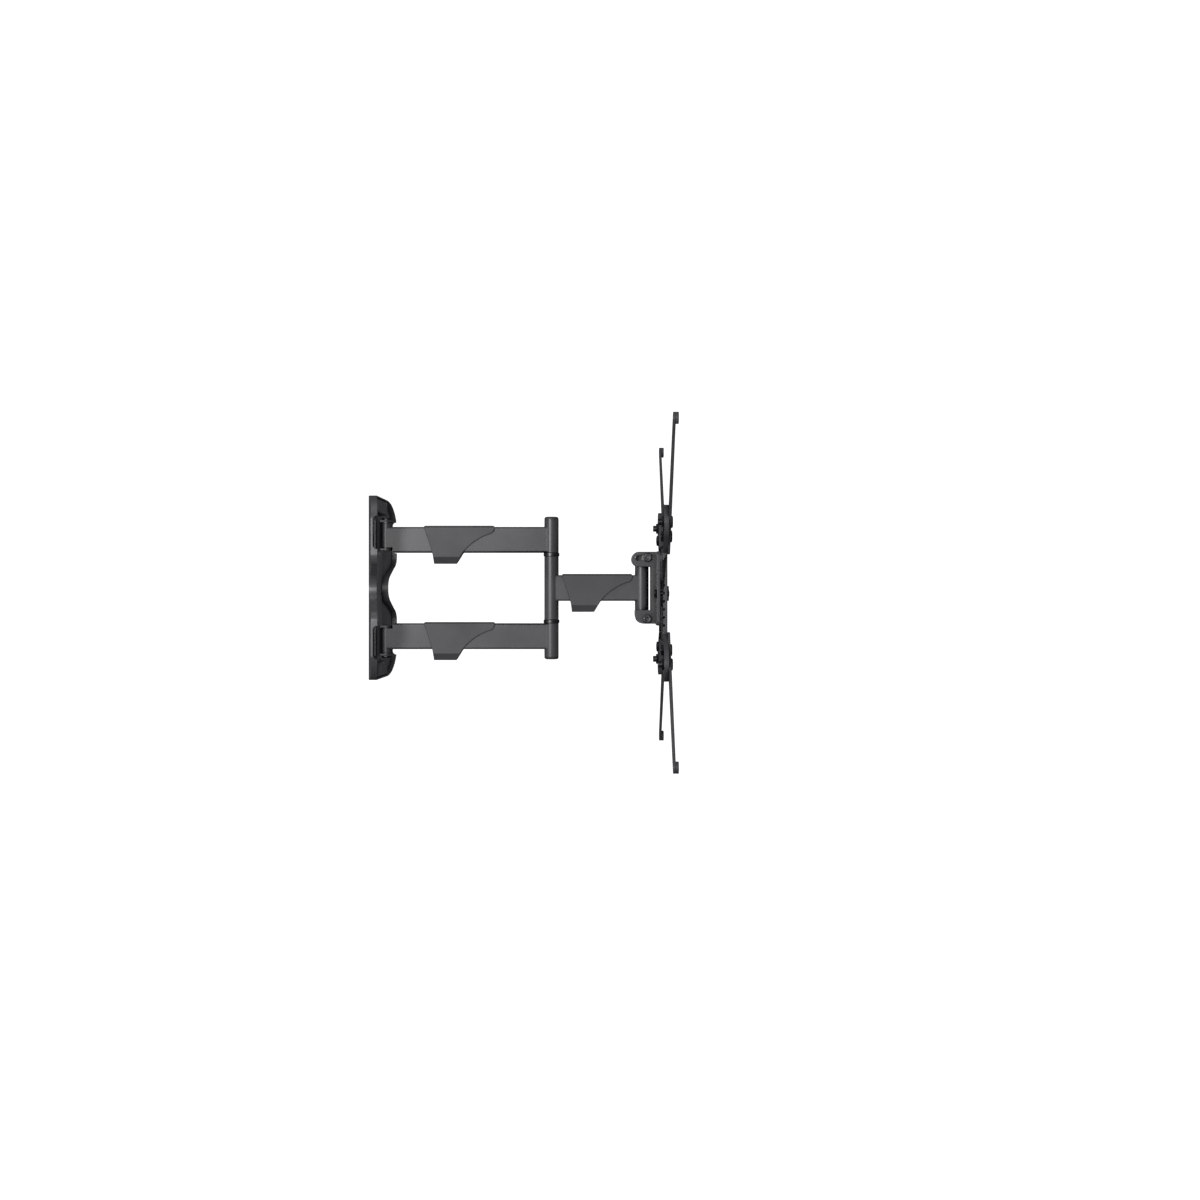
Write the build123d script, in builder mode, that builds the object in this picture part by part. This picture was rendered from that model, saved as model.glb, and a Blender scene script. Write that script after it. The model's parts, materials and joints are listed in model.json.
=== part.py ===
from build123d import *
from math import asin, atan2, cos, degrees, hypot, radians, sin, sqrt
import os

# Full motion television wall mount, in millimetres.
#
# The wall is the plane y = 0 and the mount reaches out from it towards -Y. X runs along the wall and Z is
# up. The origin is the centre of the wall plate's back face. "Reach" is the distance out from the wall,
# so a point with reach p has y = -p.
#
# The chain is wall plate, two parallel rear arms, forearm, swivel yoke, tilt bracket, television plate.

os.makedirs("parts", exist_ok=True)

# ---------------------------------------------------------------- driving dimensions

# Wall plate: a pressing with a flat web, four wings that stand off the wall, and a rim.
PLATE_HALF_HEIGHT = 115.0
PLATE_SHEET = 2.0
WEB_HALF_WIDTH = 50.0
WING_HALF_WIDTH = 87.0
WEB_RIM = 10.3  # reach of the rim beside the web
WING_RIM = 16.6  # reach of the rim at the wings' outer edges
WING_FLOOR = 9.9  # reach of the wings' faces at their outer edges
RIM_NOTCH_REACH = 11.0  # the rim is cut down to here where the arms pass
WALL_HOLE_RADIUS = 3.75
WALL_HOLE_HEIGHT = 102.0  # above and below the centre
WALL_HOLE_SPREAD = 36.0  # to each side of the centre

# Pivots, by reach.
WALL_PIVOT = 15.5
ELBOW_PIVOT = 226.0
HEAD_PIVOT = 341.4

# Tube arms.
ARM_HEIGHT = 33.0
ARM_WIDTH = 15.0
ARM_WALL = 1.5
ARM_CORNER = 2.5  # outside corner radius of the tubes
DRAIN_RADIUS = 2.5
DRAIN_DEPTH = 3.0  # deep enough to go through the tube's wall
DRAIN_OFFSET = 25.0  # beyond the start of the cable cover
ARM_CENTRE = 61.5  # height of the upper arm's centre line, and depth of the lower one's
WALL_KNUCKLE_RADIUS = 7.5
WALL_KNUCKLE_TOP = 82.6  # it stands above its arm
WALL_KNUCKLE_BOTTOM = 51.6
EAR_NOTCH_RADIUS = 11.0
COLUMN_RADIUS = 9.15
HEAD_KNUCKLE_RADIUS = 8.8
HEAD_KNUCKLE_HALF_HEIGHT = 28.0
COLUMN_HALF_HEIGHT = 88.0
COLUMN_CAP_HEIGHT = 3.0

# Running clearances.
RADIAL_CLEARANCE = 0.05
END_CLEARANCE = 0.1

# Bolts and bushes.
HINGE_BOLT_RADIUS = 4.0
HINGE_BUSH_RADIUS = 5.6
HINGE_WASHER = 1.0
EAR = 3.0  # thickness of the hinge brackets' sheet
ELBOW_BOLT_RADIUS = 5.0
ELBOW_BUSH_RADIUS = 6.5
ELBOW_COLLAR_RADIUS = 10.15
ELBOW_COLLAR_HEIGHT = 4.5
COLUMN_RECESS_RADIUS = 7.8
COLUMN_RECESS_FLOOR = 82.0
SMALL_BOLT_RADIUS = 3.0

# Cable covers: thin shells round the tube and round a cable way beneath it.
COVER_WALL = 1.5
COVER_DROP = 30.5  # lowest edge below the arm's centre line
COVER_BEVEL = 8.0
COVER_LEAN = 4.0
COVER_GAP = 0.05  # between a cover and its arm
REAR_COVER_START = 63.7
FOREARM_COVER_START = 239.5

# Head.
YOKE_HALF_WIDTH = 11.0
YOKE_HALF_HEIGHT = 45.0
YOKE_BLOCK_START = 29.2  # height at which the blocks above and below the knuckle begin
YOKE_REACH = 355.2
SWIVEL_PIN_RADIUS = 3.5
CROSS_BOLT_RADIUS = 2.5
TILT_PIVOT_REACH = 348.0
TILT_PIVOT_HEIGHT = -39.4
TILT_LOCK_REACH = 348.6
TILT_LOCK_HEIGHT = 38.8
TILT_DOWN = 9.0  # degrees
TILT_UP = 2.0
TILT_SLOT_RADIUS = 3.3
TILT_SHEET = 3.0
TILT_BASE_REACH = 360.0
TILT_BASE_THICKNESS = 4.0
TILT_BASE_HALF_WIDTH = 30.0
TILT_EAR_GAP = 0.3

# Television plate and its four arms, about a centre just below the rear arms' middle.
TV_CENTRE = -7.0
TV_PLATE_REACH = 371.5  # reach of its face, where the arms lie
TV_PLATE_SHEET = 2.5
TV_PLATE_FLANGE = 5.8
TV_PLATE_HALF_WIDTH = 62.0
LUG_CENTRE = 87.0  # offset of each corner lug from the centre, both ways
LUG_RADIUS = 21.0
TV_ARM_THICKNESS = 3.0
TV_ARM_TIP_RADIUS = 7.0
TV_ARM_HUB_RADIUS = 14.0
VESA_LARGE = 400.0
VESA_MIDDLE = 200.0
VESA_SMALL = (75.0, 100.0)
SCREW_HOLE_LARGE = 4.25
SCREW_HOLE_SMALL = 2.6
SPACER_THICKNESS = 3.5
LEVEL_PIVOT_RADIUS = 6.0
LEVEL_LOCK_OFFSET = 22.0
LEVEL_RANGE = 3.0  # degrees each way

# ---------------------------------------------------------------- derived values and helpers

ARM_BOTTOM = ARM_CENTRE - ARM_HEIGHT / 2
TV_ARM_REACH = TV_PLATE_REACH + TV_ARM_THICKNESS
TILT_BASE_FACE = TILT_BASE_REACH + TILT_BASE_THICKNESS
BEYOND = 130.0  # further than the wall plate's edges, for cutting right through it

# Seen from the side: local x is the reach and local y the height. The normal is -X.
SIDE = Plane(origin=(0, 0, 0), x_dir=(0, -1, 0), z_dir=(-1, 0, 0))


def level_plane(height):
    """A horizontal plane facing down: local x is X and local y the reach."""
    return Plane(origin=(0, 0, height), x_dir=(1, 0, 0), z_dir=(0, 0, -1))


def cylinder_up(reach, radius, low, high, x=0.0, mode=Mode.ADD):
    """A vertical cylinder between two heights, added to the open part."""
    with BuildSketch(Plane.XY.offset(low)) as disc:
        with Locations((x, -reach)):
            Circle(radius)
    extrude(disc.sketch, amount=high - low, mode=mode)


def cylinder_across(reach, height, radius, left, right, mode=Mode.ADD):
    """A cylinder along X between two places, added to the open part."""
    with BuildSketch(Plane.YZ.offset(left)) as disc:
        with Locations((-reach, height)):
            Circle(radius)
    extrude(disc.sketch, amount=right - left, mode=mode)


def cylinder_out(x, height, radius, start, end, mode=Mode.ADD):
    """A cylinder pointing out from the wall between two reaches, added to the open part."""
    with BuildSketch(Plane.XZ.offset(start)) as disc:
        with Locations((x, height)):
            Circle(radius)
    extrude(disc.sketch, amount=end - start, mode=mode)


# ---------------------------------------------------------------- wall plate


# The plate seen from the front: one quarter, mirrored to all four.
waist_corner = (60, 17)
shoulder = (76.5, 27.3)
wing_low = (WING_HALF_WIDTH, 40.5)
wing_high = (WING_HALF_WIDTH, 84)
top_corner = (48, PLATE_HALF_HEIGHT)
with BuildSketch() as plate_outline:
    with BuildLine():
        ThreePointArc((WEB_HALF_WIDTH, 0), (52.7, 9.9), waist_corner)
        Line(waist_corner, shoulder)
        ThreePointArc(shoulder, (83.8, 32.5), wing_low)
        Line(wing_low, wing_high)
        ThreePointArc(wing_high, (71.5, 105.5), top_corner)
        Line(top_corner, (0, PLATE_HALF_HEIGHT))
        mirror(about=Plane.YZ)
        mirror(about=Plane.XZ)
    make_face()


def wing_section(drop, top):
    """The section across the plate, from its floor lowered by drop up to the given top line."""
    edge = WING_HALF_WIDTH + 3
    with BuildSketch() as section:
        with BuildLine():
            Line((0, PLATE_SHEET - drop), (WEB_HALF_WIDTH, PLATE_SHEET - drop))
            ThreePointArc(
                (WEB_HALF_WIDTH, PLATE_SHEET - drop),
                (WEB_HALF_WIDTH + 17, 7.3 - drop),
                (edge, WING_FLOOR + 0.3 - drop),
            )
            Polyline((edge, WING_FLOOR + 0.3 - drop), *top)
            mirror(about=Plane.YZ)
        make_face()
    return section.sketch


rim_slope = (WING_RIM - WEB_RIM) / (WING_HALF_WIDTH - WEB_HALF_WIDTH)
rim_line = (
    (WING_HALF_WIDTH + 3, WING_RIM + 3 * rim_slope),
    (WEB_HALF_WIDTH, WEB_RIM),
    (0, WEB_RIM),
)
open_line = ((WING_HALF_WIDTH + 3, 40), (0, 40))

with BuildPart() as tray_hollow:
    with BuildSketch(Plane.XZ):
        add(plate_outline.sketch)
        offset(amount=-PLATE_SHEET, mode=Mode.REPLACE)
    extrude(amount=40)
    with BuildSketch(level_plane(BEYOND)):
        add(wing_section(0, open_line))
    extrude(amount=2 * BEYOND, mode=Mode.INTERSECT)

with BuildPart() as wall_plate:
    with BuildSketch(Plane.XZ):
        add(plate_outline.sketch)
    extrude(amount=WING_RIM)
    with BuildSketch(level_plane(BEYOND)):
        add(wing_section(PLATE_SHEET, rim_line))
    extrude(amount=2 * BEYOND, mode=Mode.INTERSECT)
    add(tray_hollow.part, mode=Mode.SUBTRACT)
    # the rim drops to the wings' faces where the arms pass when they lie along the wall
    notch_height = 41.0
    notch_centre = 67.5
    with BuildSketch(SIDE):
        with Locations((RIM_NOTCH_REACH + 10, notch_centre), (RIM_NOTCH_REACH + 10, -notch_centre)):
            RectangleRounded(20, notch_height, 5)
    extrude(amount=BEYOND, both=True, mode=Mode.SUBTRACT)
    # wall bolts: one above the other for a stud, and four round them for masonry
    with BuildSketch(Plane.XZ):
        with GridLocations(WALL_HOLE_SPREAD, 2 * WALL_HOLE_HEIGHT, 3, 2):
            Circle(WALL_HOLE_RADIUS)
    extrude(amount=PLATE_SHEET, mode=Mode.SUBTRACT)
wall_plate.part.label = "wall_plate"
export_step(wall_plate.part, "parts/wall_plate.step")

# Plastic caps that hide the wall bolts, open towards the wall.
BOLT_COVER_HALF_WIDTH = 46.0
BOLT_COVER_HEIGHT = 17.5
BOLT_COVER_REACH = 9.6
bolt_cover_centre = PLATE_HALF_HEIGHT - PLATE_SHEET - 0.5 - BOLT_COVER_HEIGHT / 2
for side, name in ((1, "upper_bolt_cover"), (-1, "lower_bolt_cover")):
    with BuildPart() as bolt_cover:
        with BuildSketch(Plane.XZ.offset(PLATE_SHEET)):
            with Locations((0, side * bolt_cover_centre)):
                RectangleRounded(2 * BOLT_COVER_HALF_WIDTH, BOLT_COVER_HEIGHT, 3)
        extrude(amount=BOLT_COVER_REACH - PLATE_SHEET)
        chamfer(bolt_cover.faces().sort_by(Axis.Y)[0].edges(), length=1.2)
        with BuildSketch(Plane.XZ.offset(PLATE_SHEET)):
            with Locations((0, side * bolt_cover_centre)):
                RectangleRounded(2 * BOLT_COVER_HALF_WIDTH - 3, BOLT_COVER_HEIGHT - 3, 1.5)
        extrude(amount=BOLT_COVER_REACH - PLATE_SHEET - COVER_WALL, mode=Mode.SUBTRACT)
    bolt_cover.part.label = name
    export_step(bolt_cover.part, f"parts/{name}.step")

# ---------------------------------------------------------------- wall hinges

# Heights in the upper hinge. The lower one is its mirror image.
inner_ear = (WALL_KNUCKLE_BOTTOM - HINGE_WASHER - EAR, WALL_KNUCKLE_BOTTOM - HINGE_WASHER)
outer_ear = (WALL_KNUCKLE_TOP + HINGE_WASHER, WALL_KNUCKLE_TOP + HINGE_WASHER + EAR)
BRACKET_WEB = (4.6, 7.6)  # reach of its back and its face
BRACKET_HALF_WIDTH = 8.5
FOOT_HALF_WIDTH = 18.0

for side, name in ((1, "upper_hinge_bracket"), (-1, "lower_hinge_bracket")):
    with BuildPart() as bracket:
        # a foot on the wall plate, raised in the middle to carry the ears
        with BuildSketch(level_plane(outer_ear[1])):
            with BuildLine():
                Polyline(
                    (0, BRACKET_WEB[1]),
                    (BRACKET_HALF_WIDTH, BRACKET_WEB[1]),
                    (BRACKET_HALF_WIDTH + 2.6, PLATE_SHEET + 2.2),
                    (FOOT_HALF_WIDTH, PLATE_SHEET + 2.2),
                    (FOOT_HALF_WIDTH, PLATE_SHEET),
                    (0, PLATE_SHEET),
                )
                mirror(about=Plane.YZ)
            make_face()
        extrude(amount=outer_ear[1] - inner_ear[0])
        for low, high in (inner_ear, outer_ear):
            with BuildSketch(Plane.XY.offset(low)):
                with Locations((0, -(PLATE_SHEET + WALL_PIVOT) / 2)):
                    Rectangle(2 * WALL_KNUCKLE_RADIUS, WALL_PIVOT - PLATE_SHEET)
                with Locations((0, -WALL_PIVOT)):
                    Circle(WALL_KNUCKLE_RADIUS)
                    Circle(HINGE_BOLT_RADIUS + RADIAL_CLEARANCE, mode=Mode.SUBTRACT)
            extrude(amount=high - low)
        if side < 0:
            mirror(about=Plane.XY, mode=Mode.REPLACE)
    bracket.part.label = name
    export_step(bracket.part, f"parts/{name}.step")

HINGE_HEAD_RADIUS = 6.5
HINGE_HEAD_HEIGHT = 2.6
with BuildPart() as wall_hinge_bolts:
    cylinder_up(WALL_PIVOT, HINGE_BOLT_RADIUS, inner_ear[0] - 0.4, outer_ear[1])
    cylinder_up(WALL_PIVOT, HINGE_HEAD_RADIUS, outer_ear[1], outer_ear[1] + HINGE_HEAD_HEIGHT)
    fillet(wall_hinge_bolts.faces().sort_by(Axis.Z)[-1].edges(), radius=1.4)
    # hexagon socket in the head
    with BuildSketch(Plane.XY.offset(outer_ear[1] + HINGE_HEAD_HEIGHT)):
        with Locations((0, -WALL_PIVOT)):
            RegularPolygon(2.5, 6, major_radius=False)
    extrude(amount=-1.6, mode=Mode.SUBTRACT)
    mirror(about=Plane.XY)
wall_hinge_bolts.part.label = "wall_hinge_bolts"
export_step(wall_hinge_bolts.part, "parts/wall_hinge_bolts.step")

with BuildPart() as wall_hinge_washers:
    for low in (inner_ear[1], WALL_KNUCKLE_TOP + END_CLEARANCE):
        with BuildSketch(Plane.XY.offset(low)):
            with Locations((0, -WALL_PIVOT)):
                Circle(WALL_KNUCKLE_RADIUS)
                Circle(HINGE_BOLT_RADIUS + RADIAL_CLEARANCE, mode=Mode.SUBTRACT)
        extrude(amount=HINGE_WASHER - END_CLEARANCE)
    mirror(about=Plane.XY)
wall_hinge_washers.part.label = "wall_hinge_washers"
export_step(wall_hinge_washers.part, "parts/wall_hinge_washers.step")

with BuildPart() as wall_hinge_bushes:
    with BuildSketch(Plane.XY.offset(WALL_KNUCKLE_BOTTOM + END_CLEARANCE)):
        with Locations((0, -WALL_PIVOT)):
            Circle(HINGE_BUSH_RADIUS)
            Circle(HINGE_BOLT_RADIUS + RADIAL_CLEARANCE, mode=Mode.SUBTRACT)
    extrude(amount=WALL_KNUCKLE_TOP - WALL_KNUCKLE_BOTTOM - 2 * END_CLEARANCE)
    mirror(about=Plane.XY)
wall_hinge_bushes.part.label = "wall_hinge_bushes"
export_step(wall_hinge_bushes.part, "parts/wall_hinge_bushes.step")

# ---------------------------------------------------------------- rear arms


def tube_between(start, end, centre):
    """A rectangular tube, solid for now, laid from one reach to another in the open part."""
    with BuildSketch(Plane.XZ.offset(start)) as section:
        with Locations((0, centre)):
            RectangleRounded(ARM_WIDTH, ARM_HEIGHT, ARM_CORNER)
    extrude(section.sketch, amount=end - start)


def hollow_between(start, end, centre):
    """The space inside such a tube."""
    with BuildSketch(Plane.XZ.offset(start)) as section:
        with Locations((0, centre)):
            RectangleRounded(ARM_WIDTH - 2 * ARM_WALL, ARM_HEIGHT - 2 * ARM_WALL, ARM_CORNER - ARM_WALL)
    extrude(section.sketch, amount=end - start, mode=Mode.SUBTRACT)


for side, name in ((1, "upper_arm"), (-1, "lower_arm")):
    with BuildPart() as arm:
        tube_between(WALL_PIVOT, ELBOW_PIVOT, ARM_CENTRE)
        hollow_between(WALL_PIVOT + WALL_KNUCKLE_RADIUS, ELBOW_PIVOT - COLUMN_RADIUS, ARM_CENTRE)
        # the tube is cut away round the bracket's inner ear
        cylinder_up(WALL_PIVOT, EAR_NOTCH_RADIUS, ARM_BOTTOM, WALL_KNUCKLE_BOTTOM, mode=Mode.SUBTRACT)
        cylinder_up(WALL_PIVOT, WALL_KNUCKLE_RADIUS, WALL_KNUCKLE_BOTTOM, WALL_KNUCKLE_TOP)
        cylinder_up(ELBOW_PIVOT, COLUMN_RADIUS, ARM_BOTTOM, COLUMN_HALF_HEIGHT)
        cylinder_up(
            WALL_PIVOT,
            HINGE_BUSH_RADIUS + RADIAL_CLEARANCE,
            WALL_KNUCKLE_BOTTOM,
            WALL_KNUCKLE_TOP,
            mode=Mode.SUBTRACT,
        )
        cylinder_up(
            ELBOW_PIVOT,
            ELBOW_BOLT_RADIUS + RADIAL_CLEARANCE,
            ARM_BOTTOM,
            COLUMN_HALF_HEIGHT,
            mode=Mode.SUBTRACT,
        )
        cylinder_up(
            ELBOW_PIVOT,
            COLUMN_RECESS_RADIUS,
            COLUMN_RECESS_FLOOR,
            COLUMN_HALF_HEIGHT,
            mode=Mode.SUBTRACT,
        )
        # drain hole in the underside, inside the cable cover: the lower arm is made upside down here
        drain_floor = ARM_BOTTOM if side > 0 else ARM_BOTTOM + ARM_HEIGHT - DRAIN_DEPTH
        cylinder_up(
            REAR_COVER_START + DRAIN_OFFSET,
            DRAIN_RADIUS,
            drain_floor,
            drain_floor + DRAIN_DEPTH,
            mode=Mode.SUBTRACT,
        )
        if side < 0:
            mirror(about=Plane.XY, mode=Mode.REPLACE)
    arm.part.label = name
    export_step(arm.part, f"parts/{name}.step")


def cover_outline(start, centre):
    """A cable cover seen from the side, hanging below an arm whose centre line is at the given height."""
    top = ARM_HEIGHT / 2 + COVER_WALL
    bottom = -COVER_DROP
    with BuildSketch() as outline:
        with BuildLine():
            Line((12.6, bottom), (41, bottom))
            Line((41, bottom), (48.6, -18))
            ThreePointArc((48.6, -18), (62, -4.3), (85.5, 7.8))
            ThreePointArc((85.5, 7.8), (89.6, 12.0), (88.4, top))
            Line((88.4, top), (1.5, top))
            ThreePointArc((1.5, top), (0.3, top - 1), (0.5, top - 2.8))
            Line((0.5, top - 2.8), (8.6, -9))
            ThreePointArc((8.6, -9), (10.7, -17), (12.6, bottom))
        make_face()
    return outline.sketch.moved(Location((start, centre)))


def cover_section(centre):
    """The cover seen end on: a rounded top, upright sides, and lower edges that lean in."""
    half_width = ARM_WIDTH / 2 + COVER_WALL
    low = centre - COVER_DROP
    with BuildSketch() as section:
        with BuildLine():
            Polyline(
                (0, low),
                (half_width - COVER_LEAN, low),
                (half_width, low + COVER_BEVEL),
                (half_width, centre + ARM_HEIGHT / 2 + COVER_WALL),
                (0, centre + ARM_HEIGHT / 2 + COVER_WALL),
            )
            mirror(about=Plane.YZ)
        make_face()
        fillet(section.vertices().group_by(Axis.Y)[-1], radius=ARM_CORNER + 1)
        fillet(section.vertices().group_by(Axis.Y)[0], radius=1)
    return section.sketch


def cable_way(centre):
    """The space under the arm where the cables run, seen end on."""
    inner_half_width = ARM_WIDTH / 2 + COVER_GAP
    low = centre - COVER_DROP + COVER_WALL
    with BuildSketch() as way:
        Polygon(
            (inner_half_width, centre),
            (-inner_half_width, centre),
            (-inner_half_width, low + COVER_BEVEL),
            (-inner_half_width + COVER_LEAN, low),
            (inner_half_width - COVER_LEAN, low),
            (inner_half_width, low + COVER_BEVEL),
            align=None,
        )
    return way.sketch


def make_cable_cover(start, centre):
    """A clip that wraps the arm, with a way for cables beneath it and a slit along its top."""
    with BuildPart() as cover:
        with BuildSketch(SIDE):
            add(cover_outline(start, centre))
        extrude(amount=ARM_WIDTH, both=True)
        with BuildSketch(Plane.XZ.offset(start - 5)):
            add(cover_section(centre))
        extrude(amount=100, mode=Mode.INTERSECT)
        with BuildSketch(Plane.XZ.offset(start - 5)):
            with Locations((0, centre)):
                RectangleRounded(
                    ARM_WIDTH + 2 * COVER_GAP, ARM_HEIGHT + 2 * COVER_GAP, ARM_CORNER + COVER_GAP
                )
            with Locations((0, centre + ARM_HEIGHT / 2)):
                Rectangle(7, 8)
            add(cable_way(centre))
        extrude(amount=100, mode=Mode.SUBTRACT)
    return cover.part


covers = (
    ("upper_cable_cover", REAR_COVER_START, ARM_CENTRE),
    ("lower_cable_cover", REAR_COVER_START, -ARM_CENTRE),
    ("forearm_cable_cover", FOREARM_COVER_START, 0.0),
)
for name, start, centre in covers:
    cable_cover = make_cable_cover(start, centre)
    cable_cover.label = name
    export_step(cable_cover, f"parts/{name}.step")

# ---------------------------------------------------------------- elbow column

ELBOW_HEAD_HEIGHT = 4.0
THREAD_RADIUS = 4.0
with BuildPart() as elbow_bolt:
    cylinder_up(ELBOW_PIVOT, ELBOW_BOLT_RADIUS, -COLUMN_RECESS_FLOOR, COLUMN_RECESS_FLOOR)
    cylinder_up(ELBOW_PIVOT, 7, COLUMN_RECESS_FLOOR, COLUMN_RECESS_FLOOR + ELBOW_HEAD_HEIGHT)
    cylinder_up(ELBOW_PIVOT, THREAD_RADIUS, -COLUMN_RECESS_FLOOR - 4.2, -COLUMN_RECESS_FLOOR)
elbow_bolt.part.label = "elbow_bolt"
export_step(elbow_bolt.part, "parts/elbow_bolt.step")

with BuildPart() as elbow_nut:
    with BuildSketch(Plane.XY.offset(-COLUMN_RECESS_FLOOR - 4)):
        with Locations((0, -ELBOW_PIVOT)):
            RegularPolygon(6.5, 6, major_radius=False)
            Circle(THREAD_RADIUS, mode=Mode.SUBTRACT)
    extrude(amount=4)
elbow_nut.part.label = "elbow_nut"
export_step(elbow_nut.part, "parts/elbow_nut.step")

with BuildPart() as elbow_end_caps:
    cylinder_up(
        ELBOW_PIVOT, COLUMN_RADIUS, COLUMN_HALF_HEIGHT, COLUMN_HALF_HEIGHT + COLUMN_CAP_HEIGHT
    )
    fillet(elbow_end_caps.faces().sort_by(Axis.Z)[-1].edges(), radius=2.8)
    cylinder_up(ELBOW_PIVOT, COLUMN_RECESS_RADIUS - 0.05, COLUMN_HALF_HEIGHT - 1.4, COLUMN_HALF_HEIGHT)
    mirror(about=Plane.XY)
elbow_end_caps.part.label = "elbow_end_caps"
export_step(elbow_end_caps.part, "parts/elbow_end_caps.step")

middle_tube_end = ARM_BOTTOM - END_CLEARANCE - ELBOW_COLLAR_HEIGHT
with BuildPart() as elbow_bushes:
    with BuildSketch(Plane.XY.offset(middle_tube_end)):
        with Locations((0, -ELBOW_PIVOT)):
            Circle(ELBOW_COLLAR_RADIUS)
    extrude(amount=ELBOW_COLLAR_HEIGHT)
    chamfer(elbow_bushes.edges().filter_by(GeomType.CIRCLE), length=0.6)
    cylinder_up(ELBOW_PIVOT, ELBOW_BUSH_RADIUS, middle_tube_end - 18, middle_tube_end)
    cylinder_up(
        ELBOW_PIVOT,
        ELBOW_BOLT_RADIUS + RADIAL_CLEARANCE,
        middle_tube_end - 18,
        ARM_BOTTOM,
        mode=Mode.SUBTRACT,
    )
    mirror(about=Plane.XY)
elbow_bushes.part.label = "elbow_bushes"
export_step(elbow_bushes.part, "parts/elbow_bushes.step")

# ---------------------------------------------------------------- forearm

HEAD_BUSH_RADIUS = 5.5
with BuildPart() as forearm:
    tube_between(ELBOW_PIVOT, HEAD_PIVOT, 0)
    hollow_between(ELBOW_PIVOT + COLUMN_RADIUS, HEAD_PIVOT - HEAD_KNUCKLE_RADIUS, 0)
    cylinder_up(ELBOW_PIVOT, COLUMN_RADIUS, -middle_tube_end, middle_tube_end)
    cylinder_up(HEAD_PIVOT, HEAD_KNUCKLE_RADIUS, -HEAD_KNUCKLE_HALF_HEIGHT, HEAD_KNUCKLE_HALF_HEIGHT)
    cylinder_up(
        ELBOW_PIVOT,
        ELBOW_BUSH_RADIUS + RADIAL_CLEARANCE,
        -middle_tube_end,
        middle_tube_end,
        mode=Mode.SUBTRACT,
    )
    cylinder_up(
        HEAD_PIVOT,
        HEAD_BUSH_RADIUS + RADIAL_CLEARANCE,
        -HEAD_KNUCKLE_HALF_HEIGHT,
        HEAD_KNUCKLE_HALF_HEIGHT,
        mode=Mode.SUBTRACT,
    )
    # drain hole in the underside, inside the cable cover
    cylinder_up(
        FOREARM_COVER_START + DRAIN_OFFSET,
        DRAIN_RADIUS,
        -ARM_HEIGHT / 2,
        -ARM_HEIGHT / 2 + DRAIN_DEPTH,
        mode=Mode.SUBTRACT,
    )
forearm.part.label = "forearm"
export_step(forearm.part, "parts/forearm.step")

with BuildPart() as head_bushes:
    flange = YOKE_BLOCK_START - HEAD_KNUCKLE_HALF_HEIGHT - END_CLEARANCE
    cylinder_up(
        HEAD_PIVOT,
        HEAD_KNUCKLE_RADIUS,
        HEAD_KNUCKLE_HALF_HEIGHT,
        HEAD_KNUCKLE_HALF_HEIGHT + flange,
    )
    cylinder_up(HEAD_PIVOT, HEAD_BUSH_RADIUS, HEAD_KNUCKLE_HALF_HEIGHT - 15, HEAD_KNUCKLE_HALF_HEIGHT)
    cylinder_up(
        HEAD_PIVOT,
        SWIVEL_PIN_RADIUS + RADIAL_CLEARANCE,
        HEAD_KNUCKLE_HALF_HEIGHT - 15,
        YOKE_BLOCK_START,
        mode=Mode.SUBTRACT,
    )
    mirror(about=Plane.XY)
head_bushes.part.label = "head_bushes"
export_step(head_bushes.part, "parts/head_bushes.step")

# ---------------------------------------------------------------- swivel yoke

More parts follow.
